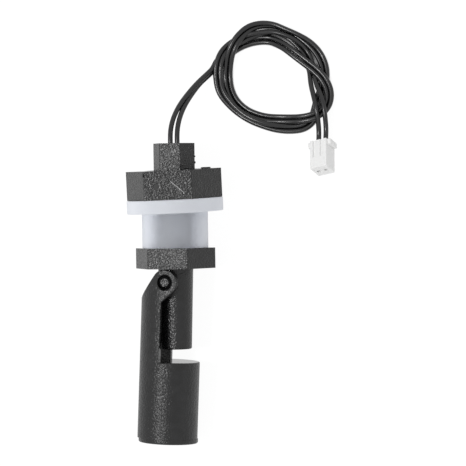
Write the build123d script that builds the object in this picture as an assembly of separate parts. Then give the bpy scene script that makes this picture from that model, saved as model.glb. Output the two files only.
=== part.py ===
from build123d import *
from math import acos, cos, pi, radians, sin, sqrt, tan
import os

# Float level switch for mounting through the side of a tank. Sizes are in millimetres.
#
# Every rigid piece is drawn upright in the switch's own frame: Z runs along the threaded shank
# towards the wires, Z = 0 is the underside of the hexagonal flange, and -Y is the front.
# The finished switch is then laid on its side, as it rests on a table: its front looks up,
# the wire end points along +Y, and it lies on two rims, the silicone flange and the float's end.
# The wires and their plug are drawn where they lie on the table.

os.makedirs("parts", exist_ok=True)

# Body: boss, threaded shank, flange and stem in one moulding
boss_flats = 11.6
boss_height = 8.95
shank_radius = 7.8
shank_height = 24.0
shank_end_chamfer = 0.8
flange_flats = 22.3
flange_height = 6.4
stem_top_radius = 5.55
stem_end_radius = 4.75
stem_length = 25.5
cable_bore_radius = 3.2
reed_bore_radius = 2.6
stem_end_wall = 2.0
hex_edge_round = 0.3
stem_edge_round = 0.5

# Hinge: two trunnions that grow out of the stem, in the float's ears
hinge_offset = 1.63
hinge_drop = 4.2
trunnion_radius = 2.22
trunnion_inset = 0.4
trunnion_tip_radius = 1.25
shoulder_radius = 3.1
shoulder_stand = 0.5
hinge_clearance = 0.08
ear_side_gap = 0.3

# Float: a hollow drum below, a half-round channel beside the stem, and two ears
float_radius = 9.5
float_axis_offset = 0.46
float_swing = 2.75
stem_end_gap = 3.8
drum_length = 25.7
drum_wall = 1.5
drum_top_wall = 1.9
channel_wall = 2.3
channel_cut = 1.4
ear_radius = 4.0
ear_flat = 0.1
ear_rim_chamfer = 0.35
ear_edge_chamfer = 0.25
shoulder_slope = 35.0
gusset_slope = 47.0
shoulder_round = 3.0
shoulder_overrun = 0.2
drum_edge_round = 0.4
cap_thickness = 1.4
cap_inset = 0.1
cap_shift = 0.3
cap_edge_round = 0.5
cap_spigot_height = 2.0
cap_spigot_wall = 1.2
cap_fit = 0.1
magnet_radius = 3.0
magnet_height = 5.0
magnet_fit = 0.05
magnet_chamfer = 0.3
magnet_pocket_wall = 1.1
magnet_pocket_skirt = 1.0

# Silicone sleeve, and the nut that squeezes it against the tank wall.
# Both sit slightly askew on the thread, as they do on the real one.
sleeve_radius = 10.4
sleeve_tube_height = 11.2
sleeve_flange_radius = 15.2
sleeve_flange_height = 4.2
sleeve_bore_gap = 0.12
sleeve_corner_round = 0.35
sleeve_root_round = 0.5
nut_flats = 26.4
nut_height = 9.1
thread_gap = 0.4
nut_bore_chamfer = 0.7
nut_turned = 4.5
nut_lean = 1.7
nut_nod = 1.3
nut_pit_radius = 1.35
nut_pit_depth = 0.8
nut_pit_turn = 30.0
nut_nick_size = 0.5
nut_nick_length = 1.2
nut_nick_turn = -120.0
seat_gap = 0.05

# Reed contact in the stem, its leads, and the resin round them
glass_radius = 1.2
glass_wall = 0.25
glass_length = 13.0
glass_end_length = 1.6
reed_axis_x = -0.6
reed_centre = -14.0
blade_width = 1.1
blade_thickness = 0.22
blade_overlap = 1.4
contact_gap = 0.1
lead_radius = 0.25
lead_stub = 0.4
lead_in_glass = 0.5
lead_spacing = 2.2
lead_top = 4.0
lead_sleeve_radius = 0.45
lead_sleeve_inset = 1.0
lead_sleeve_gap = 0.5
joint_sleeve_radius = 1.0
joint_sleeve_length = 11.0
joint_start = 1.0
resin_gap = 0.02
resin_recess = 0.5

# Wires. Each route is given where it lies, X across and Y along the switch, Z up from the table.
# Wire a is the outer one of the pair. Between its lead and its tail it is wound in the coil.
wire_diameter = 1.6
wire_spacing = 2.2
corner_share = 0.45
lead_a_points = [
    (-1.1, 49.3, 17.1), (-1.0, 52.2, 16.7), (-0.4, 55.7, 15.4), (0.9, 59.6, 13.1),
    (2.8, 63.6, 10.1), (5.0, 67.4, 6.8), (7.2, 70.7, 4.0), (8.9, 73.1, 2.0), (10.4, 75.1, 1.0),
]
lead_b_points = [
    (1.2, 49.3, 17.1), (1.3, 52.2, 16.6), (1.6, 55.5, 15.0), (2.4, 59.2, 12.3),
    (3.9, 62.9, 8.9), (5.9, 66.4, 5.5), (8.1, 69.6, 2.8), (10.0, 71.7, 1.3), (11.7, 73.6, 0.8),
]
tail_a_points = [
    (43.2, 67.0, 2.0), (44.7, 63.4, 3.1), (45.7, 60.0, 3.6), (46.1, 57.0, 3.5),
    (46.3, 53.8, 3.1), (46.3, 51.1, 2.9),
]
tail_b_points = [
    (41.0, 66.7, 2.0), (42.3, 63.1, 3.1), (43.2, 59.7, 3.6), (43.7, 56.6, 3.3),
    (43.9, 53.4, 2.6), (43.9, 50.6, 2.3),
]
coil_centre = (29.0, 69.3, 0)
coil_outer_long = 20.2
coil_outer_short = 17.6
coil_inner_long = 14.0
coil_inner_short = 10.4
coil_turned = -35.0
coil_height = 2.5

# Plug: a white two-way crimp housing of 2.5 mm pitch, tipped up a little on the table
plug_pitch = 2.5
plug_side_margin = 1.65
plug_thickness = 6.0
plug_length = 9.8
plug_edge_round = 0.25
plug_ear_reach = 1.1
plug_ear_thickness = 4.6
plug_ear_length = 1.8
plug_ear_shift = 0.2
plug_direction = (0.07, -0.92, 0.37)
plug_side = (0.921, 0.319, 0.205)
plug_spot = (45.1, 47.7)
cavity_width = 2.1
cavity_height = 2.2
cavity_depth = 9.2
mouth_width = 1.1
groove_width = 1.2
groove_depth = 0.5
groove_length = 6.0
window_length = 2.4
wire_depth = 1.5
wire_straight = 2.2
barrel_length = 2.5
contact_fit = 0.15
contact_hole = 0.9
contact_floor = 1.0


# Sizes that follow from the ones above
shoulder_reach = stem_top_radius + shoulder_stand
ear_face = float_radius - ear_flat
trunnion_reach = ear_face - trunnion_inset
channel_inner_radius = float_radius - channel_wall
nut_bore_radius = shank_radius + thread_gap
plug_width = plug_pitch + 2 * plug_side_margin

# Heights along the body that several pieces share
shank_top = flange_height + shank_height
boss_top = shank_top + boss_height
resin_top = boss_top - resin_recess
sleeve_bottom = flange_height + seat_gap
flange_seat = sleeve_bottom + sleeve_tube_height
nut_seat = flange_seat + sleeve_flange_height
reed_bore_end = -stem_length + stem_end_wall


def hex_prism(flats, height, rounding):
    """A hexagonal prism that stands on Z = 0, with its long edges slightly rounded."""
    prism = extrude(RegularPolygon(flats / 2, 6, major_radius=False), height)
    return fillet(prism.edges().filter_by(Axis.Z), rounding)


def taper(low_radius, high_radius, height):
    """A round taper that stands on Z = 0."""
    return Pos(0, 0, height / 2) * Cone(low_radius, high_radius, height)


def rod(radius, low, high, x=0.0, y=0.0):
    """A round rod along Z between two heights."""
    return Pos(x, y, low) * extrude(Circle(radius), high - low)


def cross_rod(radius, reach):
    """A round rod along Y, centred on the hinge axis of the body."""
    pin = Rot(90, 0, 0) * extrude(Circle(radius), reach, both=True)
    return Pos(-hinge_offset, 0, -hinge_drop) * pin


def cable_bore(shrink=0.0):
    """The stepped blind hole down the middle of the body: wide in the shank, narrow in the stem."""
    wide = rod(cable_bore_radius - shrink, 0, boss_top)
    narrow = rod(reed_bore_radius - shrink, reed_bore_end + shrink, 0)
    return wide + narrow


def make_trunnions():
    """Both hinge pins with the broad shoulders that keep the ears off the stem."""
    pin = cross_rod(trunnion_radius, trunnion_reach)
    tips = pin.edges().filter_by(GeomType.CIRCLE)
    pin = chamfer(tips, trunnion_radius - trunnion_tip_radius)
    return pin + cross_rod(shoulder_radius, shoulder_reach)


def make_body():
    boss = Pos(0, 0, shank_top) * hex_prism(boss_flats, boss_height, hex_edge_round)
    shank = rod(shank_radius, flange_height, shank_top)
    shank = chamfer(shank.edges().group_by(Axis.Z)[-1], shank_end_chamfer)
    flange = hex_prism(flange_flats, flange_height, hex_edge_round)
    stem = Pos(0, 0, -stem_length) * taper(stem_end_radius, stem_top_radius, stem_length)
    stem = fillet(stem.edges().group_by(Axis.Z)[0], stem_edge_round)
    solid = boss + shank + flange + stem + make_trunnions()
    return solid - cable_bore()


# Float, in its own frame: its axis is Z, and the hinge axis crosses the XZ plane at the point below
hinge_x = -float_axis_offset
drum_top = hinge_drop - stem_length - stem_end_gap
drum_bottom = drum_top - drum_length + cap_thickness
ear_inner_face = shoulder_reach + ear_side_gap
cut_x = -channel_cut


def float_side_profile():
    """Side view of the channel and ears in the XZ plane.

    A straight slope runs down to the left from the ear's round head to the channel's back.
    A second one, the gusset, runs down from the head's right side to the channel's cut edge.
    The back lies a little outside the drum's radius, so that it never skims the round wall.
    """
    slope = radians(shoulder_slope)
    gusset = radians(gusset_slope)
    head_left = (hinge_x - ear_radius * cos(slope), ear_radius * sin(slope))
    head_right = (hinge_x + ear_radius * cos(gusset), -ear_radius * sin(gusset))
    back_x = -float_radius - shoulder_overrun
    back_z = head_left[1] - (head_left[0] - back_x) / tan(slope)
    gusset_z = head_right[1] - (head_right[0] - cut_x) / tan(gusset)
    foot = drum_top - 2 * drum_edge_round
    outline = Polyline(
        head_left, (back_x, back_z), (back_x, foot), (cut_x, foot),
        (cut_x, gusset_z), head_right,
    )
    head = ThreePointArc(head_right, (hinge_x, ear_radius), head_left)
    face = make_face(outline + head)
    corner = face.vertices().sort_by_distance((back_x, back_z, 0))[0]
    return Plane.XZ * fillet(corner, shoulder_round)


def outline_plan():
    """Outer plan of the channel and ears: the drum's half circle, run on as two flat faces."""
    half = Circle(float_radius) & Pos(-float_radius, 0) * Rectangle(2 * float_radius, 2 * ear_face)
    return half + Pos(ear_radius / 2, 0) * Rectangle(ear_radius, 2 * ear_face)


def hollow_plan():
    """Inner plan of the channel, open towards the right."""
    opening = Pos(ear_radius / 2, 0) * Rectangle(ear_radius, 2 * channel_inner_radius)
    return Circle(channel_inner_radius) + opening


def make_channel():
    """The half-round wall beside the stem, with the two ears at its top."""
    foot = drum_top - 2 * drum_edge_round
    height = ear_radius - foot
    outline = Pos(0, 0, foot) * extrude(outline_plan(), height)
    hollow = Pos(0, 0, foot) * extrude(hollow_plan(), height)
    profile = extrude(float_side_profile(), float_radius + 1, both=True)
    heads = Pos(hinge_x, 0, 0) * Rot(90, 0, 0) * extrude(Circle(ear_radius), ear_face, both=True)
    between = Box(4 * ear_radius + 2, 2 * ear_inner_face, 4 * ear_radius)
    channel = (outline & profile) - hollow + (heads & outline) - between
    rims = []
    for face in channel.faces().filter_by(Axis.Y):
        if abs(face.center().Y) > ear_face - ear_edge_chamfer:
            rims += face.edges().filter_by(Axis.Z, reverse=True)
    return chamfer(rims, ear_edge_chamfer)


def make_float_shell():
    channel = make_channel()
    drum = rod(float_radius, drum_bottom, drum_top)
    drum = fillet(drum.edges().group_by(Axis.Z)[-1], drum_edge_round)
    cavity = rod(float_radius - drum_wall, drum_bottom, drum_top - drum_top_wall)
    pocket_top = drum_top - drum_top_wall
    pocket_low = pocket_top - magnet_height - magnet_pocket_skirt
    pocket_radius = magnet_radius + magnet_fit
    pocket = rod(pocket_radius + magnet_pocket_wall, pocket_low, pocket_top)
    magnet_hole = rod(pocket_radius, pocket_low, pocket_top)
    shell = channel + (drum - cavity) + (pocket - magnet_hole)

    hole_radius = trunnion_radius + hinge_clearance
    hole = Pos(hinge_x, 0, 0) * Rot(90, 0, 0) * extrude(Circle(hole_radius), ear_face, both=True)
    shell = shell - hole
    for side in (-1, 1):
        shell = shell - ear_lead_in(hole_radius, side)
    return shell


def ear_lead_in(hole_radius, side):
    """The short cone at the outer mouth of an ear's hole."""
    cone = Cone(hole_radius, hole_radius + ear_rim_chamfer, ear_rim_chamfer)
    turned = Rot(-90 * side, 0, 0) * cone
    return Pos(hinge_x, side * (ear_face - ear_rim_chamfer / 2), 0) * turned


def make_float_cap():
    """The disc welded into the drum's open end, with a spigot that centres it."""
    end = drum_bottom - cap_thickness
    disc = Pos(cap_shift, 0, 0) * rod(float_radius - cap_inset, end, drum_bottom)
    disc = fillet(disc.edges().group_by(Axis.Z)[0], cap_edge_round)
    spigot_radius = float_radius - drum_wall - cap_fit
    spigot_top = drum_bottom + cap_spigot_height
    spigot = rod(spigot_radius, drum_bottom, spigot_top)
    return disc + spigot - rod(spigot_radius - cap_spigot_wall, drum_bottom, spigot_top)


def make_magnet():
    top = drum_top - drum_top_wall
    magnet = rod(magnet_radius, top - magnet_height, top)
    return chamfer(magnet.edges().filter_by(GeomType.CIRCLE), magnet_chamfer)


# How the sleeve's flange and the nut sit askew on the thread
askew = Pos(0, 0, nut_seat) * Rot(nut_nod, -nut_lean, 0)


def make_sleeve():
    bore = rod(shank_radius + sleeve_bore_gap, 0, boss_top)
    tube = rod(sleeve_radius, sleeve_bottom, (flange_seat + nut_seat) / 2)
    flange = askew * rod(sleeve_flange_radius, -sleeve_flange_height, 0)
    flange = fillet(flange.edges().filter_by(GeomType.CIRCLE), sleeve_corner_round)
    sleeve = tube + flange
    root = sleeve.edges().filter_by(GeomType.ELLIPSE)
    return fillet(root, sleeve_root_round) - bore


def make_nut():
    nut = hex_prism(nut_flats, nut_height, hex_edge_round)
    hole = rod(nut_bore_radius, 0, nut_height)
    nut = nut - hole
    mouth = nut.edges().filter_by(GeomType.CIRCLE).sort_by(SortBy.RADIUS)[-2:]
    nut = chamfer(mouth, nut_bore_chamfer)
    pit_middle = (nut_bore_radius + nut_bore_chamfer + nut_flats / 2) / 2
    pit = rod(nut_pit_radius, nut_height - nut_pit_depth, nut_height, pit_middle, 0)
    pit = Rot(0, 0, nut_pit_turn) * pit
    nick = Box(2 * nut_nick_size, nut_nick_size, nut_nick_length)
    nick = Pos(nut_flats / sqrt(3), 0, nut_height - nut_nick_length) * nick
    nick = Rot(0, 0, nut_nick_turn) * nick
    nut = Rot(0, 0, nut_turned) * (nut - pit - nick)
    return askew * Pos(0, 0, seat_gap) * nut


def glass_outline(grow=0.0):
    """The reed's glass: a tube whose ends are melted down onto the leads."""
    low = reed_centre - glass_length / 2 - grow
    high = reed_centre + glass_length / 2 + grow
    radius = glass_radius + grow
    neck = lead_radius + glass_wall + grow
    half = Polyline(
        (0, low), (neck, low), (radius, low + glass_end_length), (radius, high - glass_end_length),
        (neck, high), (0, high), (0, low),
    )
    return Pos(reed_axis_x, 0, 0) * revolve(Plane.XZ * make_face(half), Axis.Z)


def glass_cavity():
    low = reed_centre - glass_length / 2 + glass_end_length
    high = reed_centre + glass_length / 2 - glass_end_length
    return rod(glass_radius - glass_wall, low, high, reed_axis_x)


def upper_blade():
    """The blade that hangs from the top of the glass, with its straight lead."""
    high = reed_centre + glass_length / 2 - glass_end_length
    low = reed_centre - blade_overlap / 2
    blade = Box(blade_width, blade_thickness, high - low)
    side = (blade_thickness + contact_gap) / 2
    blade = Pos(reed_axis_x, side, (high + low) / 2) * blade
    return blade + rod(lead_radius, high - lead_in_glass, lead_top, reed_axis_x)


def lower_lead_path(grow=0.0):
    """The lower lead turns back under the glass and comes up beside it."""
    low = reed_centre - glass_length / 2
    far_x = reed_axis_x + lead_spacing
    bend = lead_spacing / 2
    turn_z = low - lead_stub
    top = (reed_axis_x, 0, low + glass_end_length + lead_in_glass)
    line = Line(top, (reed_axis_x, 0, turn_z))
    arc = ThreePointArc(
        (reed_axis_x, 0, turn_z), (reed_axis_x + bend, 0, turn_z - bend), (far_x, 0, turn_z),
    )
    rise = Line((far_x, 0, turn_z), (far_x, 0, lead_top))
    path = line + arc + rise
    start = Plane(origin=top, z_dir=(0, 0, -1))
    return sweep(start * Circle(lead_radius + grow), path=path)


def lower_blade():
    low = reed_centre - glass_length / 2 + glass_end_length
    high = reed_centre + blade_overlap / 2
    blade = Box(blade_width, blade_thickness, high - low)
    side = -(blade_thickness + contact_gap) / 2
    return Pos(reed_axis_x, side, (high + low) / 2) * blade + lower_lead_path()


def make_reed_glass():
    return glass_outline() - glass_cavity() - upper_blade() - lower_blade()


def make_lead_sleeve(grow=0.0):
    """The thin sleeve that keeps the rising lead off the glass."""
    far_x = reed_axis_x + lead_spacing
    low = reed_centre - glass_length / 2 + lead_sleeve_inset
    sleeve = rod(lead_sleeve_radius + grow, low - grow, joint_start - lead_sleeve_gap + grow, far_x)
    return sleeve if grow else sleeve - rod(lead_radius, low, joint_start, far_x)


def joint_x(side):
    return side * wire_spacing / 2


def make_joint_sleeve(side, grow=0.0):
    """A shrink sleeve over the joint of a lead and a wire, closed round the lead."""
    x = joint_x(side)
    top = joint_start + joint_sleeve_length
    sleeve = rod(joint_sleeve_radius + grow, joint_start - grow, top, x)
    if grow:
        return sleeve
    lead_x = reed_axis_x if side < 0 else reed_axis_x + lead_spacing
    return sleeve - rod(lead_radius, joint_start, lead_top, lead_x)


def make_inner_wire(side, grow=0.0):
    """The end of a wire that the resin holds, from its joint to the resin's face."""
    low = joint_start + joint_sleeve_length
    return rod(wire_diameter / 2 + grow, low, resin_top, joint_x(side))


def make_potting():
    """The resin: it fills the bore, and each piece that it holds leaves a hollow in it."""
    fill = cable_bore(resin_gap) - rod(cable_bore_radius + 1, resin_top, boss_top + 1)
    held = glass_outline(resin_gap) + upper_blade() + lower_lead_path(resin_gap)
    held = held + make_lead_sleeve(resin_gap)
    for side in (-1, 1):
        held = held + make_joint_sleeve(side, resin_gap) + make_inner_wire(side, resin_gap)
    return fill - held


def hang_float(piece):
    """Moves a piece from the float's frame to its rest place on the hinge."""
    on_hinge = Pos(float_axis_offset, 0, 0) * piece
    return Pos(-hinge_offset, 0, -hinge_drop) * Rot(0, float_swing, 0) * on_hinge


# How the switch lies: the up direction in its own frame, for a tilt in degrees
def up_direction(tilt):
    return Vector(0, -cos(radians(tilt)), sin(radians(tilt)))


def rim_height(centre, normal, radius, tilt):
    """How high the lowest point of a round rim lies, measured along the up direction."""
    up = up_direction(tilt)
    lean = normal.normalized().dot(up)
    return centre.dot(up) - radius * sqrt(1 - lean**2)


def resting_tilt():
    """The tilt at which the silicone flange's lower rim and the float's end rim are level."""
    flange_rim = askew * Location((0, 0, -sleeve_flange_height))
    float_place = Pos(-hinge_offset, 0, -hinge_drop) * Rot(0, float_swing, 0)
    float_rim = float_place * Location((float_axis_offset, 0, drum_bottom))
    up_of = [Plane(place).z_dir for place in (flange_rim, float_rim)]
    low, high = 0.0, 15.0
    for _ in range(40):
        tilt = (low + high) / 2
        flange_low = rim_height(flange_rim.position, up_of[0], sleeve_flange_radius, tilt)
        float_low = rim_height(float_rim.position, up_of[1], float_radius, tilt)
        if flange_low < float_low:
            low = tilt
        else:
            high = tilt
    return tilt


tilt = resting_tilt()
lay_down = Rot(-90 + tilt, 0, 0)

body_pieces = {
    "switch_body": make_body(),
    "clamp_nut": make_nut(),
    "sealing_sleeve": make_sleeve(),
    "reed_glass": make_reed_glass(),
    "reed_blade_upper": upper_blade(),
    "reed_blade_lower": lower_blade(),
    "lead_sleeve": make_lead_sleeve(),
    "joint_sleeve_a": make_joint_sleeve(-1),
    "joint_sleeve_b": make_joint_sleeve(1),
    "potted_wire_a": make_inner_wire(-1),
    "potted_wire_b": make_inner_wire(1),
    "potting": make_potting(),
    "float_shell": hang_float(make_float_shell()),
    "float_cap": hang_float(make_float_cap()),
    "float_magnet": hang_float(make_magnet()),
}

laid = {name: lay_down * piece for name, piece in body_pieces.items()}
box = Compound(children=[Part(piece.wrapped) for piece in laid.values()]).bounding_box()
to_origin = Pos(-box.center().X, -box.center().Y, -box.min.Z)
place = to_origin * lay_down


def exit_point(side):
    """Where a wire leaves the resin, on the table's frame."""
    return (place * Pos(joint_x(side), 0, resin_top)).position


# The plug's own frame: Z runs from the wire end to the mating end, Y out of the front face
plug_way = Vector(*plug_direction).normalized()
plug_across = (Vector(*plug_side) - plug_way * Vector(*plug_side).dot(plug_way)).normalized()
plug_turn = Plane(origin=(0, 0, 0), x_dir=plug_across, z_dir=plug_way).location


def way_x(side):
    """The middle of each of the plug's two ways, across its width."""
    return side * plug_pitch / 2


def make_plug_housing():
    """A white housing with two ways, open at both ends, with a window behind each contact."""
    body = Pos(0, 0, plug_length / 2) * Box(plug_width, plug_thickness, plug_length)
    body = fillet(body.edges(), plug_edge_round)
    ear = Box(plug_width + 2 * plug_ear_reach, plug_ear_thickness, plug_ear_length)
    body = body + Pos(0, -plug_ear_shift, plug_ear_length / 2) * fillet(ear.edges(), plug_edge_round)
    for side in (-1, 1):
        x = way_x(side)
        cavity = Pos(x, 0, cavity_depth / 2) * Box(cavity_width, cavity_height, cavity_depth)
        mouth = Pos(x, 0, plug_length / 2) * Box(mouth_width, mouth_width, plug_length)
        front = plug_thickness / 2
        groove = Pos(x, front, groove_length / 2) * Box(groove_width, 2 * groove_depth, groove_length)
        window_middle = groove_length - window_length / 2
        window = Pos(x, -front / 2, window_middle) * Box(groove_width, front, window_length)
        body = body - cavity - mouth - groove - window
    return body


# The plug rests on the table with its lowest corner
plug_housing = make_plug_housing()
plug_lift = -(plug_turn * plug_housing).bounding_box().min.Z
plug_place = Pos(*plug_spot, plug_lift) * plug_turn


def at_plug(piece):
    return plug_place * piece


def make_terminal(side):
    """A crimped contact: a barrel on the wire's end and a square socket at the mating end."""
    barrel_end = wire_depth + barrel_length
    barrel = rod(wire_diameter / 2, wire_depth, barrel_end)
    socket_length = cavity_depth - contact_fit - barrel_end
    socket = Box(cavity_width - 2 * contact_fit, cavity_height - 2 * contact_fit, socket_length)
    socket = Pos(0, 0, barrel_end + socket_length / 2) * socket
    hole_length = socket_length - contact_floor
    hole = Box(contact_hole, contact_hole, hole_length)
    hole = Pos(0, 0, barrel_end + contact_floor + hole_length / 2) * hole
    return at_plug(Pos(way_x(side), 0, 0) * (barrel + socket - hole))


def bent_tube(name, points):
    """A round wire along straight runs joined by arcs, each arc as large as its two runs allow."""
    points = [Vector(*point) for point in points]
    ways = [(b - a).normalized() for a, b in zip(points, points[1:])]
    runs = [(b - a).length for a, b in zip(points, points[1:])]
    edges, radii, start = [], [], points[0]
    for i, corner in enumerate(points[1:-1]):
        before, after = ways[i], ways[i + 1]
        half_turn = acos(min(1.0, before.dot(after))) / 2
        cut = corner_share * min(runs[i], runs[i + 1])
        radius = cut / tan(half_turn)
        arc_start = corner - before * cut
        arc_end = corner + after * cut
        middle = corner + (after - before).normalized() * (radius / cos(half_turn) - radius)
        edges += [Line(start, arc_start), ThreePointArc(arc_start, middle, arc_end)]
        radii.append(radius)
        start = arc_end
    edges.append(Line(start, points[-1]))
    section = Plane(origin=points[0], z_dir=ways[0]) * Circle(wire_diameter / 2)
    tube = sweep(section, path=Wire(edges))
    length = sum(edge.length for edge in edges)
    ratio = tube.volume / (length * pi * wire_diameter**2 / 4)
    print(name, "length", round(length, 1), "runs", [round(run, 1) for run in runs])
    print(name, "radii", [round(radius, 1) for radius in radii], "volume ratio", round(ratio, 4))
    return tube


def make_coil():
    """The outer shape of the wound wires: a flat oval ring that lies on the table."""
    ring = Ellipse(coil_outer_long, coil_outer_short) - Ellipse(coil_inner_long, coil_inner_short)
    return Pos(*coil_centre) * Rot(0, 0, coil_turned) * extrude(ring, coil_height)


def plug_entry(side):
    """Where a wire's end meets its contact inside the plug, and a point straight behind it."""
    end = (plug_place * Pos(way_x(side), 0, wire_depth)).position
    return [tuple(end - plug_way * wire_straight), tuple(end)]


coil = make_coil()
cord_pieces = {
    "wire_a_lead": bent_tube("wire_a_lead", [exit_point(-1)] + lead_a_points) - coil,
    "wire_b_lead": bent_tube("wire_b_lead", [exit_point(1)] + lead_b_points) - coil,
    "wire_coil": coil,
    "wire_a_tail": bent_tube("wire_a_tail", tail_a_points + plug_entry(1)) - coil,
    "wire_b_tail": bent_tube("wire_b_tail", tail_b_points + plug_entry(-1)) - coil,
    "plug_housing": at_plug(plug_housing),
    "crimp_terminal_a": make_terminal(1),
    "crimp_terminal_b": make_terminal(-1),
}

for name, piece in laid.items():
    export_step(to_origin * piece, f"parts/{name}.step")
for name, piece in cord_pieces.items():
    export_step(piece, f"parts/{name}.step")
print("tilt", round(tilt, 4), "shift", to_origin.position, "exits", exit_point(-1), exit_point(1))
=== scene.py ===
# %% [markdown]
# # A float level switch, laid on a white table
#
# The construction comes from the frame: every rigid piece is already at its real size and place.
# Here it gets its looks: the finish of each material, the two wires as real lengths of flexible
# wire, small marks of the moulding, a table, the light and the camera. The scene is in metres,
# and sizes picked in millimetres are multiplied by MM.

# %% The frame
import math

import bmesh
import bpy
from mathutils import Matrix, Vector


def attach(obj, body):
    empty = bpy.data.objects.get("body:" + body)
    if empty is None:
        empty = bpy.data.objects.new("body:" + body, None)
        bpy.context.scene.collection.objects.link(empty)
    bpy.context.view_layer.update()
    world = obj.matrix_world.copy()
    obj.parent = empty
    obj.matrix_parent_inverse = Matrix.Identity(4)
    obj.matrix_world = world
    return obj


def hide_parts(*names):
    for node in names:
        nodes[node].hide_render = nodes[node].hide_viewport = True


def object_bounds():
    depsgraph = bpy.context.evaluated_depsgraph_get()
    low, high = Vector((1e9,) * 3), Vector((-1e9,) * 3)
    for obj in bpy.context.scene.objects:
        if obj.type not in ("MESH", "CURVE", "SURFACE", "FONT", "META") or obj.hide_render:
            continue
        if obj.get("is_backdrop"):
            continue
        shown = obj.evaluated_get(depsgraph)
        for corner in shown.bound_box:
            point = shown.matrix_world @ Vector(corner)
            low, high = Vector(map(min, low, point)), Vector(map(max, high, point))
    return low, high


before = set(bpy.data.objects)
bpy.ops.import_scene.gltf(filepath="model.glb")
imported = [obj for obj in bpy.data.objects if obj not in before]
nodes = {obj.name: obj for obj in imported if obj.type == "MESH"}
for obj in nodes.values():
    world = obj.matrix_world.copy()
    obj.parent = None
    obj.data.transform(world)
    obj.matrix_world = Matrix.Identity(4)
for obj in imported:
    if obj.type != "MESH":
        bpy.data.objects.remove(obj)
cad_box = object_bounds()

MM = 0.001
print("pieces in the frame:", len(nodes))
print("box in mm:", [round(c / MM, 1) for c in (cad_box[1] - cad_box[0])])

# %% [markdown]
# ## The camera
#
# The photograph was taken from almost straight above with a long lens, so that nothing looks
# distorted. A camera can be placed by eye, or from the directions of edges whose real size is
# known. The second way was used: this place and lens put the hexagons' edges and the ends of the
# float where the photograph has them. The frame is square, so one lens length fits both sides.

# %% Camera
LOOK_AT = Vector((15.6, 19.7, 0)) * MM
TOWARDS_CAMERA = Vector((0.2049, -0.0592, 0.977)).normalized()
CAMERA_DISTANCE = 843.7 * MM
CAMERA_RIGHT = Vector((0.9787, 0.0016, -0.2052))
LENS_MM = 203.95


def new_object(name, data):
    """An object that holds this data, put into the scene."""
    made = bpy.data.objects.new(name, data)
    bpy.context.scene.collection.objects.link(made)
    return made


camera_data = bpy.data.cameras.new("camera")
camera_data.lens = LENS_MM
camera_data.sensor_width = 36
camera_data.clip_end = 10
camera = new_object("camera", camera_data)
up = TOWARDS_CAMERA.cross(CAMERA_RIGHT).normalized()
right = up.cross(TOWARDS_CAMERA)
turn = Matrix((right, up, TOWARDS_CAMERA)).transposed().to_4x4()
camera.matrix_world = Matrix.Translation(LOOK_AT + TOWARDS_CAMERA * CAMERA_DISTANCE) @ turn
bpy.context.scene.camera = camera
print("camera height in mm:", round(camera.matrix_world.translation.z / MM))

# %% [markdown]
# ## The wires
#
# Two thin black wires leave the resin in the top of the body. They dip to the table together, are
# wound into a loose ring of about two and a half turns, and end in a white plug. Wire could be a
# swept mesh, but a curve with a round bevel keeps its middle line, which is easy to steer and to
# measure. One spline per wire runs the whole way: lead, ring and tail.
#
# The leads and tails are listed points, in millimetres.

# %% Where the leads and tails run
WIRE_DIAMETER = 1.6 * MM

LEAD_A = [
    (-1.05, 46.7, 16.92), (-1.1, 49.3, 17.1), (-1.0, 52.2, 16.7), (-0.4, 55.7, 15.4),
    (0.9, 59.6, 13.1), (3.0, 63.6, 10.1), (5.4, 67.4, 6.9), (7.6, 70.2, 4.2), (9.4, 72.3, 2.6),
]
LEAD_B = [
    (1.15, 46.7, 16.92), (1.1, 49.3, 17.1), (1.15, 52.2, 16.6), (1.45, 55.5, 15.0),
    (2.2, 59.2, 12.3), (3.6, 63.1, 8.8), (5.5, 67.0, 5.4), (7.7, 69.8, 2.7), (9.5, 71.9, 1.1),
]
TAIL_A = [
    (42.85, 67.0, 2.2), (44.7, 63.4, 3.6), (45.7, 60.0, 4.3), (46.1, 57.0, 4.2),
    (46.3, 53.8, 3.4), (46.3, 51.1, 2.95), (46.23, 48.57, 3.38), (46.39, 46.54, 4.2),
]
TAIL_B = [
    (41.2, 66.7, 2.2), (42.3, 63.1, 3.6), (43.2, 59.7, 4.3), (43.7, 56.6, 4.1),
    (43.9, 53.4, 3.0), (43.9, 50.6, 2.4), (43.87, 48.12, 2.71), (44.02, 46.09, 3.53),
]
print("points in each lead:", len(LEAD_A), "and in each tail:", len(TAIL_A))

# %% [markdown]
# The ring is a list of stations for the pair's middle: how far round it is, how far from the
# ring's middle, how high, and how far the pair has rolled, from side by side to one wire on top of
# the other. Where a turn crosses another it is a wire's thickness higher. A list like this is
# easier to fit to a photograph than two lists of points, because the wires stay a pair.

# %% The ring's stations
RING_MIDDLE = (29.0, 69.3)
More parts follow.
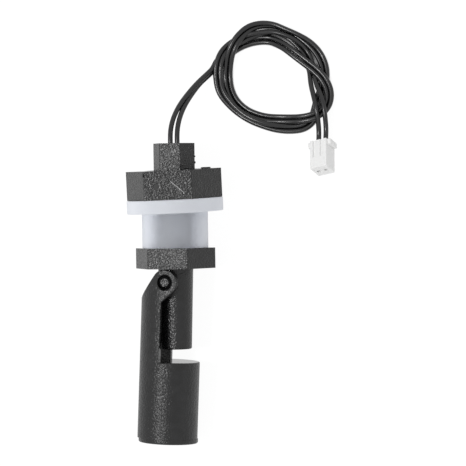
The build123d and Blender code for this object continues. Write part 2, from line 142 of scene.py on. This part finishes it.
# degrees round from the left over the top, distance from the middle, height, roll in degrees
RING = [
    (17, 18.9, 1.3, 35), (29, 16.9, 0.9, 5), (41, 15.6, 0.8, 0), (55, 14.2, 0.8, 0),
    (70, 13.0, 0.8, 0), (85, 12.1, 0.9, 0), (98, 11.0, 1.5, 0), (110, 10.4, 2.2, 0),
    (122, 10.0, 2.5, 0), (135, 10.0, 2.6, 0), (147, 10.5, 2.6, 0), (159, 11.6, 2.6, 0),
    (170, 13.4, 2.5, 0), (182, 16.2, 2.4, 0), (194, 18.8, 2.4, 0), (205, 20.0, 2.4, 0),
    (215, 19.8, 2.4, 0), (225, 18.4, 2.4, 0), (236, 16.5, 2.1, 0), (248, 14.7, 1.2, 0),
    (262, 13.6, 0.8, 0), (278, 13.4, 0.8, 0), (295, 13.6, 0.8, 0), (312, 14.2, 0.8, 0),
    (330, 14.8, 0.8, 0), (346, 15.0, 0.8, 0), (362, 15.1, 1.0, 0), (376, 15.2, 2.0, 0),
    (388, 15.6, 3.4, 0), (400, 16.2, 4.1, 0), (412, 16.8, 4.1, 10), (424, 17.5, 3.2, 30),
    (436, 17.5, 2.1, 55), (450, 16.8, 1.62, 70), (465, 15.6, 1.62, 80), (480, 15.3, 1.55, 65),
    (496, 15.7, 1.28, 35), (512, 16.3, 0.95, 10), (528, 16.7, 0.8, 0), (543, 16.6, 0.8, 0),
    (557, 16.2, 0.8, 0), (568, 16.3, 0.8, 0), (578, 17.3, 0.8, 0), (588, 18.9, 0.8, 0),
    (599, 19.0, 0.8, 0), (612, 17.6, 0.8, 0), (627, 16.3, 1.1, -20), (642, 15.6, 1.5, -50),
    (658, 15.5, 1.6, -54), (674, 15.8, 1.6, -48), (690, 16.5, 1.8, -30), (705, 17.7, 2.2, -10),
    (720, 18.0, 2.4, 0), (734, 18.2, 3.0, 0), (746, 18.2, 2.9, 0), (758, 17.3, 2.4, 5),
    (770, 16.0, 2.4, 20), (782, 15.2, 2.2, 50), (795, 14.7, 1.8, 80), (810, 14.5, 1.63, 90),
    (825, 13.8, 1.62, 80), (838, 13.4, 1.45, 50), (850, 13.0, 1.1, 20), (862, 12.8, 0.8, 0),
    (873, 12.7, 0.8, 0), (884, 12.3, 0.9, 0), (892, 12.6, 1.4, 0),
]
print("turns in the ring:", round((RING[-1][0] - RING[0][0]) / 360, 1))


# %% From stations to points
WIRE_SIDE_STEP = 0.8


def ring_spot(degrees_round, distance, height):
    """A point of the pair's middle line, in mm."""
    angle = math.radians(degrees_round)
    x = RING_MIDDLE[0] - distance * math.cos(angle)
    y = RING_MIDDLE[1] + distance * math.sin(angle)
    return Vector((x, y, height))


def ring_points(outwards):
    """One wire's points round the ring: outwards is 1 for the outer wire and -1 for the inner."""
    middle = [ring_spot(*station[:3]) for station in RING]
    points = []
    for i, station in enumerate(RING):
        before, after = middle[max(i - 1, 0)], middle[min(i + 1, len(middle) - 1)]
        way = (after - before).normalized()
        across = Vector((-way.y, way.x, 0)).normalized()
        roll = math.radians(station[3])
        step = across * math.cos(roll) + Vector((0, 0, math.sin(roll)))
        points.append(middle[i] + step * outwards * WIRE_SIDE_STEP)
    return points


points_a = LEAD_A + ring_points(1) + TAIL_A
points_b = LEAD_B + ring_points(-1) + TAIL_B
print("points along each wire:", len(points_a), len(points_b))


# %% Making a wire
def make_wire(name, points_mm):
    """A round wire whose spline has these points as its control points.

    The bevel is 1 m and each point scales it to the wire's radius, so the curve's box fits too.
    """
    curve = bpy.data.curves.new(name, "CURVE")
    curve.dimensions = "3D"
    curve.bevel_depth = 1
    curve.bevel_resolution = 5
    curve.use_fill_caps = True
    curve.resolution_u = 8
    spline = curve.splines.new("NURBS")
    spline.points.add(len(points_mm) - 1)
    for point, place in zip(spline.points, points_mm):
        point.co = (*(Vector(place) * MM), 1)
        point.radius = WIRE_DIAMETER / 2
    spline.order_u = 3
    spline.use_endpoint_u = True
    return new_object(name, curve)


def line_length(piece):
    """The length of the wire's middle line, measured on a copy with no bevel."""
    bare = piece.data.copy()
    bare.bevel_depth = 0
    holder = bpy.data.objects.new("bare", bare)
    mesh = bpy.data.meshes.new_from_object(holder)
    spots = [v.co.copy() for v in mesh.vertices]
    bpy.data.meshes.remove(mesh)
    bpy.data.objects.remove(holder)
    bpy.data.curves.remove(bare)
    return sum((b - a).length for a, b in zip(spots, spots[1:]))


wire_a = make_wire("wire_a", points_a)
wire_b = make_wire("wire_b", points_b)
for wire in (wire_a, wire_b):
    print(wire.name, "length in mm:", round(line_length(wire) / MM, 1))

# %% [markdown]
# Each wire rides on the body, and the frame's pieces that it stands for, its lead, its tail
# and the coil, are hidden.

# %% Each wire on the body
for wire, end, exit_mm, length in (
    (wire_a, "a", LEAD_A[0], 0.315),
    (wire_b, "b", LEAD_B[0], 0.292),
):
    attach(wire, "body")
    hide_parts(f"wire_{end}_lead", f"wire_{end}_tail", "wire_coil")

# %% [markdown]
# ## Small marks of the moulding
#
# Some things are too fine for the construction but catch the light. The shank's thread is a low
# ridge wound round it. The two halves of the mould left a thin line down the float, and a little
# flash on one corner of the boss. A low rim stands round the pit in the nut's end. They are real
# shapes, so they show from every side. Each is drawn in the frame of its own piece, where the
# numbers are simple, and moved from there.

# %% Frames of the switch, the nut and the float
SWITCH_PLACE = (0.0534, 7.973, 13.79)
SWITCH_TILT = 4.6267
NUT_SEAT = (0, 0, 21.9)
NUT_NOD, NUT_LEAN, NUT_TURN = 1.3, -1.7, 4.5
NUT_FACE, NUT_END = 13.2, 9.1
HINGE_PLACE = (-1.63, 0, -4.2)
FLOAT_SWING = 2.75
FLOAT_OFFSET = 0.46
FLOAT_RADIUS, FLOAT_END = 9.5, -49.4


def turned(degrees, axis):
    return Matrix.Rotation(math.radians(degrees), 4, axis)


def shifted(x, y, z):
    return Matrix.Translation(Vector((x, y, z)) * MM)


# In each, Z runs towards the wires and -Y is the front
switch_frame = shifted(*SWITCH_PLACE) @ turned(SWITCH_TILT - 90, "X")
nut_frame = (switch_frame @ shifted(*NUT_SEAT)
             @ turned(NUT_NOD, "X") @ turned(NUT_LEAN, "Y") @ turned(NUT_TURN, "Z"))
float_frame = (switch_frame @ shifted(*HINGE_PLACE)
               @ turned(FLOAT_SWING, "Y") @ shifted(FLOAT_OFFSET, 0, 0))
for label, of_piece, place in (
    ("nut's front edge:", nut_frame, (0, -NUT_FACE, NUT_END)),
    ("float's front edge:", float_frame, (0, -FLOAT_RADIUS, FLOAT_END)),
):
    print(label, [round(c / MM, 2) for c in of_piece @ (Vector(place) * MM)])


# %% The thread as rings
def thread_rings(low, high, pitch, root, crest, steps=48):
    """Rings of a helical ridge that fades out at both ends."""
    foot_half, crest_half = 0.55, 0.12
    total = int((high - low) / pitch * steps)
    rings = []
    for i in range(total + 1):
        angle = 2 * math.pi * i / steps
        height = low + pitch * i / steps
        top = root + (crest - root) * min(1, 2 * i / steps, 2 * (total - i) / steps)
        section = ((root, -foot_half), (top, -crest_half), (top, crest_half), (root, foot_half))
        rings.append([(radius * math.cos(angle), radius * math.sin(angle), height + along)
                      for radius, along in section])
    return rings


shank_rings = thread_rings(low=7.2, high=29.0, pitch=1.5, root=7.77, crest=7.88)
print("rings along the thread:", len(shank_rings))


# %% From rings to a ridge
def add_piece(name, bm, body):
    """Turns a finished bmesh into a piece that rides on a body."""
    mesh = bpy.data.meshes.new(name)
    bm.to_mesh(mesh)
    bm.free()
    piece = new_object(name, mesh)
    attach(piece, body)
    print(name, "rides on", body, "and has", len(mesh.polygons), "faces")
    return piece


def make_ridge(name, body, frame_of, rings, closed=False):
    """A low ridge through a list of rings, each with its points in mm."""
    bm = bmesh.new()
    rows = [[bm.verts.new(frame_of @ (Vector(p) * MM)) for p in ring] for ring in rings]
    count = len(rows[0])
    for row, after in zip(rows, rows[1:] + (rows[:1] if closed else [])):
        for i in range(count):
            j = (i + 1) % count
            bm.faces.new((row[i], row[j], after[j], after[i]))
    if not closed:
        bm.faces.new(rows[0])
        bm.faces.new(rows[-1][::-1])
    bmesh.ops.recalc_face_normals(bm, faces=bm.faces)
    return add_piece(name, bm, body)


thread = make_ridge("shank_thread", "body", switch_frame, shank_rings)

# %% The float's parting lines
SUNK = 0.05
DRUM_TOP = -25.6


def line_rings(side, low, height):
    """Two rings of a thin straight ridge along the drum's front (-1) or back (1)."""
    foot, crest = side * (FLOAT_RADIUS - SUNK), side * (FLOAT_RADIUS + height)
    return [[(-0.09, foot, z), (-0.03, crest, z), (0.03, crest, z), (0.09, foot, z)]
            for z in (low, DRUM_TOP)]


front_line = make_ridge("front_parting_line", "float", float_frame,
                        line_rings(-1, low=-49.3, height=0.08))
back_line = make_ridge("back_parting_line", "float", float_frame,
                       line_rings(1, low=-47.0, height=0.04))


# %% The rim round the nut's pit
def rim_rings(x, y, z, inner, outer, height, steps=40):
    """Rings of a round rim that stands on a level face."""
    section = ((inner, -SUNK), (inner, height), (outer - 0.1, height), (outer, -SUNK))
    rings = []
    for i in range(steps):
        angle = 2 * math.pi * i / steps
        rings.append([(x + radius * math.cos(angle), y + radius * math.sin(angle), z + above)
                      for radius, above in section])
    return rings


pit_rim = make_ridge("nut_pit_rim", "nut", nut_frame,
                     rim_rings(9.57, 5.53, NUT_END, inner=1.36, outer=1.6, height=0.35),
                     closed=True)


# %% The flash on the boss
def make_lump(name, body, middle, radius, squash):
    """A small smooth lump at a place in mm, squashed along X, Y and Z."""
    bm = bmesh.new()
    bmesh.ops.create_icosphere(bm, subdivisions=3, radius=radius * MM)
    bm.transform(shifted(*middle) @ Matrix.Diagonal((*squash, 1)))
    for face in bm.faces:
        face.smooth = True
    return add_piece(name, bm, body)


flash = [
    make_lump("boss_flash_upper", "body",
              middle=(6.68, 43.0, 16.6), radius=0.3, squash=(1, 0.9, 0.8)),
    make_lump("boss_flash_lower", "body",
              middle=(6.70, 41.1, 16.4), radius=0.32, squash=(1, 1.2, 0.8)),
]

# %% [markdown]
# ## The wall between the float's ears
#
# The float's half-round wall rises behind the stem and ends in a slope up to the ears. The
# construction's wall stops short between the ears, so the rest of it is built here, as rows of
# points across the float: at each place the wall lies between two round walls, above a level
# foot and below the slope. It fills that space exactly and rides on the float.

# %% The slope over the wall
EAR_MIDDLE, EAR_RADIUS = -FLOAT_OFFSET, 4
SLOPE = math.radians(35)


def slope_height(x):
    """The height of the slope, or of the ear's round head, over a place beside the float's axis."""
    head_left = EAR_MIDDLE - EAR_RADIUS * math.cos(SLOPE)
    if x > head_left:
        return math.sqrt(max(0, EAR_RADIUS ** 2 - (x - EAR_MIDDLE) ** 2))
    return EAR_RADIUS * math.sin(SLOPE) - (head_left - x) / math.tan(SLOPE)


for x in (-9, -7, -5, -3):
    print("slope's height at", x, "mm:", round(slope_height(x), 2))

# %% Wall between the ears
EAR_GAP_HALF = 6.35
WALL_FOOT, WALL_SKIN = -8.0, -9.0
WALL_INSIDE = 7.2
SIDE_STEPS, TOP_STEPS = 20, 4


def wall_section(y):
    """The wall's outline at one place across the float, in mm."""
    outer = max(WALL_SKIN, -math.sqrt(FLOAT_RADIUS ** 2 - y ** 2))
    inner = -math.sqrt(WALL_INSIDE ** 2 - y ** 2)
    top = [outer + (inner - outer) * i / TOP_STEPS for i in range(TOP_STEPS + 1)]
    return [(outer, y, WALL_FOOT), *((x, y, slope_height(x)) for x in top), (inner, y, WALL_FOOT)]


across_float = [EAR_GAP_HALF * math.sin(math.radians(90 * i / SIDE_STEPS))
                for i in range(-SIDE_STEPS, SIDE_STEPS + 1)]
back_wall = make_ridge("float_back_wall", "float", float_frame,
                       [wall_section(y) for y in across_float])
for face in back_wall.data.polygons:
    face.use_smooth = True
back_wall.data.set_sharp_from_angle(angle=math.radians(25))

# %% [markdown]
# ## Materials: a small kit
#
# Every finish here is built from the same few nodes: a principled shader, noise in the object's
# own coordinates, and bump. Object coordinates are right for this, because the pieces have no UVs
# and the pattern must ride along when the float swings. Scales are given as the size of a grain in
# millimetres, which is easier to judge than a noise scale.

# %% A material, its grain and its bump
def new_material(name, base, roughness, specular=0.5):
    """A material with one principled shader; returns it with its nodes and the shader."""
    material = bpy.data.materials.new(name)
    material.use_nodes = True
    tree = material.node_tree
    shader = tree.nodes["Principled BSDF"]
    shader.inputs["Base Color"].default_value = (*base, 1)
    shader.inputs["Roughness"].default_value = roughness
    shader.inputs["Specular IOR Level"].default_value = specular
    return material, tree, shader


def grain(tree, size_mm, detail=2.0):
    """Noise whose grains are about this size, in the object's own coordinates."""
    where = tree.nodes.new("ShaderNodeTexCoord")
    noise = tree.nodes.new("ShaderNodeTexNoise")
    noise.inputs["Scale"].default_value = 1 / (size_mm * MM)
    noise.inputs["Detail"].default_value = detail
    noise.inputs["Roughness"].default_value = 0.5
    tree.links.new(where.outputs["Object"], noise.inputs["Vector"])
    return noise.outputs["Fac"]


def add_bump(tree, shader, heights, depth_mm, under=None):
    """Lets heights, from 0 to 1, raise the surface by up to depth_mm."""
    bump = tree.nodes.new("ShaderNodeBump")
    bump.inputs["Strength"].default_value = 1
    bump.inputs["Distance"].default_value = depth_mm * MM
    tree.links.new(heights, bump.inputs["Height"])
    if under is not None:
        tree.links.new(under, bump.inputs["Normal"])
    tree.links.new(bump.outputs["Normal"], shader.inputs["Normal"])
    return bump.outputs["Normal"]


print("a grain of 1 mm is a noise scale of", round(1 / MM))


# %% Numbers between nodes
def remap(tree, value, low, high, to_low, to_high):
    """Stretches a value from one range to another, and clamps it."""
    node = tree.nodes.new("ShaderNodeMapRange")
    tree.links.new(value, node.inputs["Value"])
    for socket, number in zip(("From Min", "From Max", "To Min", "To Max"),
                              (low, high, to_low, to_high)):
        node.inputs[socket].default_value = number
    return node.outputs["Result"]


def opposite(tree, value):
    """1 where the value is 0, and 0 where it is 1."""
    return remap(tree, value, 0, 1, 1, 0)


def mottle(tree, size_mm, lowest, highest, detail=2.0):
    """Grain that wanders between two values: nearly all noise lies between 0.3 and 0.7."""
    return remap(tree, grain(tree, size_mm, detail), 0.3, 0.7, lowest, highest)


def calculate(tree, operation, *values):
    """A math node on one or two values."""
    node = tree.nodes.new("ShaderNodeMath")
    node.operation = operation
    for value, socket in zip(values, node.inputs):
        tree.links.new(value, socket)
    return node.outputs[0]


MIX_SOCKETS = {"FLOAT": (2, 3, 0), "RGBA": (6, 7, 2)}


def mix(tree, kind, factor, first, second):
    """Mixes two numbers (FLOAT) or colours (RGBA), each fixed or from another node."""
    node = tree.nodes.new("ShaderNodeMix")
    node.data_type = kind
    first_socket, second_socket, result = MIX_SOCKETS[kind]
    tree.links.new(factor, node.inputs[0])
    for socket, value in ((first_socket, first), (second_socket, second)):
        if isinstance(value, bpy.types.NodeSocket):
            tree.links.new(value, node.inputs[socket])
        else:
            node.inputs[socket].default_value = value
    return node.outputs[result]


print("kinds of mix:", list(MIX_SOCKETS))

# %% [markdown]
# ## Black moulded plastic
#
# The body, the nut and the float are moulded in tools whose faces were eroded by sparks. That
# leaves a fine pebbled skin: from the front it glitters in small points, and from the side it is
# an even dark grey. Painting the points on would look wrong as soon as the light moved, so the
# pebbles are bump, over longer waves, and the points come from the lamp. The ends that look along
# the switch were made by another part of the tool and are smooth.

# %% Smooth ends
ALONG_SWITCH = switch_frame.to_3x3() @ Vector((0, 0, 1))


def end_faces(tree):
    """1 on faces that look along the switch, which are smooth, and 0 on its sides."""
    where = tree.nodes.new("ShaderNodeTexCoord")
    dot = tree.nodes.new("ShaderNodeVectorMath")
    dot.operation = "DOT_PRODUCT"
    dot.inputs[1].default_value = ALONG_SWITCH
    tree.links.new(where.outputs["Normal"], dot.inputs[0])
    return remap(tree, calculate(tree, "ABSOLUTE", dot.outputs["Value"]), 0.85, 0.97, 0, 1)


print("the switch points along", [round(c, 3) for c in ALONG_SWITCH])

# %% Spark-eroded plastic
PLASTIC = (0.0065, 0.0065, 0.0068)
WORN_PLASTIC = [2 * c for c in PLASTIC]
END_ROUGHNESS = 0.07
PEBBLE_DEPTH = 0.085
PEBBLES_PER_WAVE = 9


def moulded_black(name, pebble_mm, roughness, bare=None):
    """Returns the material with its tree and shader. Where bare gives 1, there are no pebbles."""
    material, tree, shader = new_material(name, PLASTIC, roughness)
    ends = end_faces(tree)
    pebbles = mottle(tree, pebble_mm, 0, 1, detail=1.5)
    if bare is not None:
        pebbles = calculate(tree, "MULTIPLY", pebbles, opposite(tree, bare(tree)))
    pebbles = calculate(tree, "MULTIPLY", pebbles, opposite(tree, ends))
    waves = add_bump(tree, shader, grain(tree, PEBBLES_PER_WAVE * pebble_mm), PEBBLE_DEPTH / 3)
    add_bump(tree, shader, pebbles, PEBBLE_DEPTH, under=waves)
    worn = remap(tree, grain(tree, 2.5), 0.35, 0.7, 0, 1)
    colour = mix(tree, "RGBA", worn, (*PLASTIC, 1), (*WORN_PLASTIC, 1))
    tree.links.new(colour, shader.inputs["Base Color"])
    on_sides = remap(tree, pebbles, 0, 1, roughness - 0.03, roughness + 0.05)
    finish = mix(tree, "FLOAT", ends, on_sides, END_ROUGHNESS)
    tree.links.new(finish, shader.inputs["Roughness"])
    return material, tree, shader


body_black = moulded_black("body_black", pebble_mm=0.58, roughness=0.26)[0]
float_black = moulded_black("float_black", pebble_mm=0.6, roughness=0.3)[0]
print("shader nodes in the body's black:", len(body_black.node_tree.nodes))


# %% Painting the body and the float
def paint(material, *pieces):
    """Gives pieces of the frame, or made here, this material in all their slots."""
    for piece in pieces:
        if not piece.material_slots:
            piece.data.materials.append(material)
        for spot in piece.material_slots:
            spot.material = material
    print(material.name, "on", ", ".join(piece.name for piece in pieces))


paint(body_black, nodes["switch_body"], thread, *flash)
paint(float_black, nodes["float_shell"], nodes["float_cap"], front_line, back_line, back_wall)

# %% [markdown]
# The nut has two marks of its own on its front face. A smooth round spot is where the plastic
# came into the mould, and a fine pale scratch crosses the pebbles. Both are found by their place:
# the nut's own coordinates are looked at from the middle of the mark.

# %% Finding a place on a piece
def seen_from(tree, place, flat=1.0):
    """The object's own coordinates as seen from a place on it, a 4x4 matrix.

    The third coordinate is divided by flat, so a large number leaves it out.
    """
    where = tree.nodes.new("ShaderNodeTexCoord")
    mapping = tree.nodes.new("ShaderNodeMapping")
    mapping.vector_type = "TEXTURE"
    mapping.inputs["Location"].default_value = place.translation
    mapping.inputs["Rotation"].default_value = place.to_euler("XYZ")
    mapping.inputs["Scale"].default_value = (1, 1, flat)
    tree.links.new(where.outputs["Object"], mapping.inputs["Vector"])
    return mapping.outputs["Vector"]


def distance(tree, vector):
    """How far a point lies from the place that it is seen from."""
    node = tree.nodes.new("ShaderNodeVectorMath")
    node.operation = "LENGTH"
    tree.links.new(vector, node.inputs[0])
    return node.outputs["Value"]


def within(tree, vector, axis, half_mm, soft_mm):
    """1 where a coordinate is within half_mm of 0, falling to 0 over soft_mm."""
    split = tree.nodes.new("ShaderNodeSeparateXYZ")
    tree.links.new(vector, split.inputs[0])
    size = calculate(tree, "ABSOLUTE", split.outputs[axis])
    return remap(tree, size, half_mm * MM, (half_mm + soft_mm) * MM, 1, 0)


facing = turned(90, "X")
gate = nut_frame @ shifted(-3.54, -NUT_FACE, 4.2) @ facing
scratch = nut_frame @ shifted(3.0, -NUT_FACE, 3.86) @ facing @ turned(-42, "Z")
print("from spot to scratch in mm:", round((scratch.translation - gate.translation).length / MM, 1))


# %% The nut's marks
def gate_spot(tree):
    """1 on the smooth spot and 0 off it."""
    return remap(tree, distance(tree, seen_from(tree, gate)), 0.9 * MM, 1.2 * MM, 1, 0)


nut_black, tree, shader = moulded_black("nut_black", pebble_mm=0.56, roughness=0.26,
                                        bare=gate_spot)
seen = seen_from(tree, scratch)
line = calculate(tree, "MULTIPLY", within(tree, seen, 0, half_mm=2.5, soft_mm=0.4),
                 within(tree, seen, 1, half_mm=0.02, soft_mm=0.1))
line = calculate(tree, "MULTIPLY", line, within(tree, seen, 2, half_mm=0.5, soft_mm=0.1))
base = shader.inputs["Base Color"]
SCRATCH_COLOUR = (0.5, 0.5, 0.5, 1)
tree.links.new(mix(tree, "RGBA", line, base.links[0].from_socket, SCRATCH_COLOUR), base)
paint(nut_black, nodes["clamp_nut"], pit_rim)

# %% [markdown]
# ## Translucent silicone
#
# The sleeve is milky silicone: light goes in, is scattered, and comes out again, and the dark
# shank shows through it as a soft bluish shadow. Clear glass would be too sharp and paint too
# flat. A share of rough transmission for the shadow and a share of scattering for the milk
# gives both. The thin tube lets more through than the broad flange, and a surface seen at a low
# angle lets less through, because the way in the silicone is longer there.

# %% Silicone
TUBE_RADIUS = 10.4


def silicone():
    material, tree, shader = new_material("silicone", (0.85, 0.875, 0.93), 0.4)
    from_axis = distance(tree, seen_from(tree, switch_frame, flat=1e6))
    thin = remap(tree, from_axis, TUBE_RADIUS * MM, (TUBE_RADIUS + 1) * MM, 1.0, 0.35)
    slant = tree.nodes.new("ShaderNodeLayerWeight")
    through = remap(tree, slant.outputs["Facing"], 0.1, 0.5, 0.7, 0.12)
    share = calculate(tree, "MULTIPLY", thin, through)
    tree.links.new(share, shader.inputs["Transmission Weight"])
    shader.inputs["IOR"].default_value = 1.2
    add_bump(tree, shader, grain(tree, 1.2), 0.015)
    return material


paint(silicone(), nodes["sealing_sleeve"])

# %% [markdown]
# ## Wire jacket, plug and contacts
#
# The wire's jacket is soft black plastic with a wet-looking gloss, which draws the long thin
# highlights. The plug is white nylon, which lets a little light in at its edges. The contacts are
# tinned.

# %% Jacket, nylon and tin
def wire_jacket():
    material, tree, shader = new_material("wire_jacket", (0.005, 0.005, 0.0055), 0.24, 0.65)
    add_bump(tree, shader, grain(tree, 5.0), 0.004)
    tree.links.new(mottle(tree, 2.0, 0.2, 0.28), shader.inputs["Roughness"])
    return material


def white_nylon():
    material, tree, shader = new_material("white_nylon", (0.95, 0.95, 0.945), 0.35)
    shader.inputs["Subsurface Weight"].default_value = 0.3
    shader.inputs["Subsurface Scale"].default_value = 0.5 * MM
    shader.inputs["Subsurface Radius"].default_value = (1, 1, 1)
    add_bump(tree, shader, grain(tree, 0.5), 0.01)
    return material


def plain_metal(name, base, roughness):
    material, tree, shader = new_material(name, base, roughness)
    shader.inputs["Metallic"].default_value = 1
    dullness = mottle(tree, 0.4, roughness, roughness + 0.12)
    tree.links.new(dullness, shader.inputs["Roughness"])
    return material


paint(wire_jacket(), wire_a, wire_b, nodes["potted_wire_a"], nodes["potted_wire_b"])
paint(white_nylon(), nodes["plug_housing"])
paint(plain_metal("tinned_contact", (0.72, 0.72, 0.70), 0.25),
      nodes["crimp_terminal_a"], nodes["crimp_terminal_b"])

# %% [markdown]
# ## What is sealed inside
#
# The reed contact, its sleeves, the resin and the magnet are never seen in a picture, but the
# model can be cut open, so they get honest finishes too.

# %% Inner pieces
def clear_glass():
    material, tree, shader = new_material("reed_glass", (0.75, 0.92, 0.8), 0.03)
    shader.inputs["Transmission Weight"].default_value = 1
    add_bump(tree, shader, grain(tree, 1.5), 0.005)
    return material


def dull_black(name, base, roughness, grain_mm):
    material, tree, shader = new_material(name, base, roughness)
    add_bump(tree, shader, grain(tree, grain_mm), 0.01)
    return material


paint(clear_glass(), nodes["reed_glass"])
paint(plain_metal("reed_metal", (0.6, 0.6, 0.57), 0.3),
      nodes["reed_blade_upper"], nodes["reed_blade_lower"])
paint(dull_black("shrink_sleeve", (0.03, 0.03, 0.03), 0.5, 0.6),
      nodes["lead_sleeve"], nodes["joint_sleeve_a"], nodes["joint_sleeve_b"])
paint(dull_black("resin", (0.012, 0.012, 0.013), 0.2, 1.5), nodes["potting"])
paint(dull_black("ferrite", (0.08, 0.08, 0.085), 0.6, 0.2), nodes["float_magnet"])

# %% [markdown]
# ## The table and the light
#
# The object lies on white paper under soft studio light. The paper shows pure white to the
# camera and keeps a faint shadow. It would show as bright specks in the narrow gaps between the
# wires, where real paper lies in the dark, so there the paper's glow carries painted shade: a node
# that feels how open a place is turns it dark. Black plastic is seen mostly by what it reflects,
# so the white around it matters more than the lamp: faces seen at a low angle go pale. One small
# bright lamp, a little to the left of straight above, makes the points on the pebbles and the
# lines along the wires.

# %% Table
def make_table(half_size):
    """A square of paper that the object lies on, and no part of it."""
    bm = bmesh.new()
    bmesh.ops.create_grid(bm, x_segments=1, y_segments=1, size=half_size)
    mesh = bpy.data.meshes.new("table")
    bm.to_mesh(mesh)
    bm.free()
    piece = new_object("table", mesh)
    piece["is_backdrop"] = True
    return piece


def seen_directly(tree, path, *kinds):
    """1 for rays of any of these kinds, from a Light Path node, and 0 for the rest."""
    seen = path.outputs[kinds[0]]
    for kind in kinds[1:]:
        seen = calculate(tree, "MAXIMUM", seen, path.outputs[kind])
    return seen


def white_paper():
    """Lit paper that looks evenly white, with painted shade in the narrow gaps between wires."""
    material = bpy.data.materials.new("white_paper")
    material.use_nodes = True
    tree = material.node_tree
    tree.nodes.clear()
    lit = tree.nodes.new("ShaderNodeBsdfDiffuse")
    lit.inputs["Color"].default_value = (0.9, 0.9, 0.9, 1)
    glow = tree.nodes.new("ShaderNodeEmission")
    path = tree.nodes.new("ShaderNodeLightPath")
    # In the gloss of the plastic, the paper gets a little darker with its distance
    in_gloss = remap(tree, distance(tree, seen_from(tree, Matrix())), 0.12, 0.5, 0.85, 0.7)
    # Painted shade: where under a third of the air around a place is open, it is a gap, and its
    # glow is turned dark
    open_air = tree.nodes.new("ShaderNodeAmbientOcclusion")
    open_air.inputs["Distance"].default_value = 2.5 * MM
    glow_with_painted_gap_shade = remap(tree, open_air.outputs["AO"], 0.3, 0.55, 0.05, 1.1)
    strength = mix(tree, "FLOAT", path.outputs["Is Glossy Ray"], glow_with_painted_gap_shade, in_gloss)
    tree.links.new(strength, glow.inputs["Strength"])
    seen = seen_directly(tree, path, "Is Camera Ray", "Is Glossy Ray", "Is Transmission Ray")
    share = tree.nodes.new("ShaderNodeMixShader")
    tree.links.new(remap(tree, seen, 0, 1, 0, 0.85), share.inputs[0])
    tree.links.new(lit.outputs[0], share.inputs[1])
    tree.links.new(glow.outputs[0], share.inputs[2])
    out = tree.nodes.new("ShaderNodeOutputMaterial")
    tree.links.new(share.outputs[0], out.inputs["Surface"])
    return material


paint(white_paper(), make_table(half_size=3.0))

# %% World and lamp
DAYLIGHT, GLOSS_LIGHT = 0.66, 0.8


def make_world():
    """White to the camera, a little darker in gloss, and a soft even light on the rest."""
    world = bpy.data.worlds.new("world")
    bpy.context.scene.world = world
    world.use_nodes = True
    tree = world.node_tree
    back = tree.nodes["Background"]
    back.inputs["Color"].default_value = (1, 1, 1, 1)
    path = tree.nodes.new("ShaderNodeLightPath")
    unseen = remap(tree, path.outputs["Is Glossy Ray"], 0, 1, DAYLIGHT, GLOSS_LIGHT)
    seen = seen_directly(tree, path, "Is Camera Ray", "Is Transmission Ray")
    tree.links.new(calculate(tree, "MAXIMUM", unseen, seen), back.inputs["Strength"])


def add_lamp(name, direction, distance, size, power):
    """A square soft lamp that shines at the middle of the object."""
    data = bpy.data.lights.new(name, "AREA")
    data.size = size
    data.energy = power
    lamp = new_object(name, data)
    way = Vector(direction).normalized()
    lamp.matrix_world = (Matrix.Translation(LOOK_AT + way * distance)
                         @ way.to_track_quat("Z", "Y").to_matrix().to_4x4())
    return lamp


make_world()
key_lamp = add_lamp("key_lamp", (-0.33, -0.07, 0.94), distance=0.9, size=0.12, power=2.4)
bpy.context.scene.view_settings.view_transform = "Standard"
print("lamp's height in mm:", round(key_lamp.matrix_world.translation.z / MM))

# %% Measure and finish
bpy.context.view_layer.update()
visual_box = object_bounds()
for name, corners in (("cad", cad_box), ("visual", visual_box)):
    print(name, "box in mm:", [[round(c / MM, 2) for c in corner] for corner in corners])
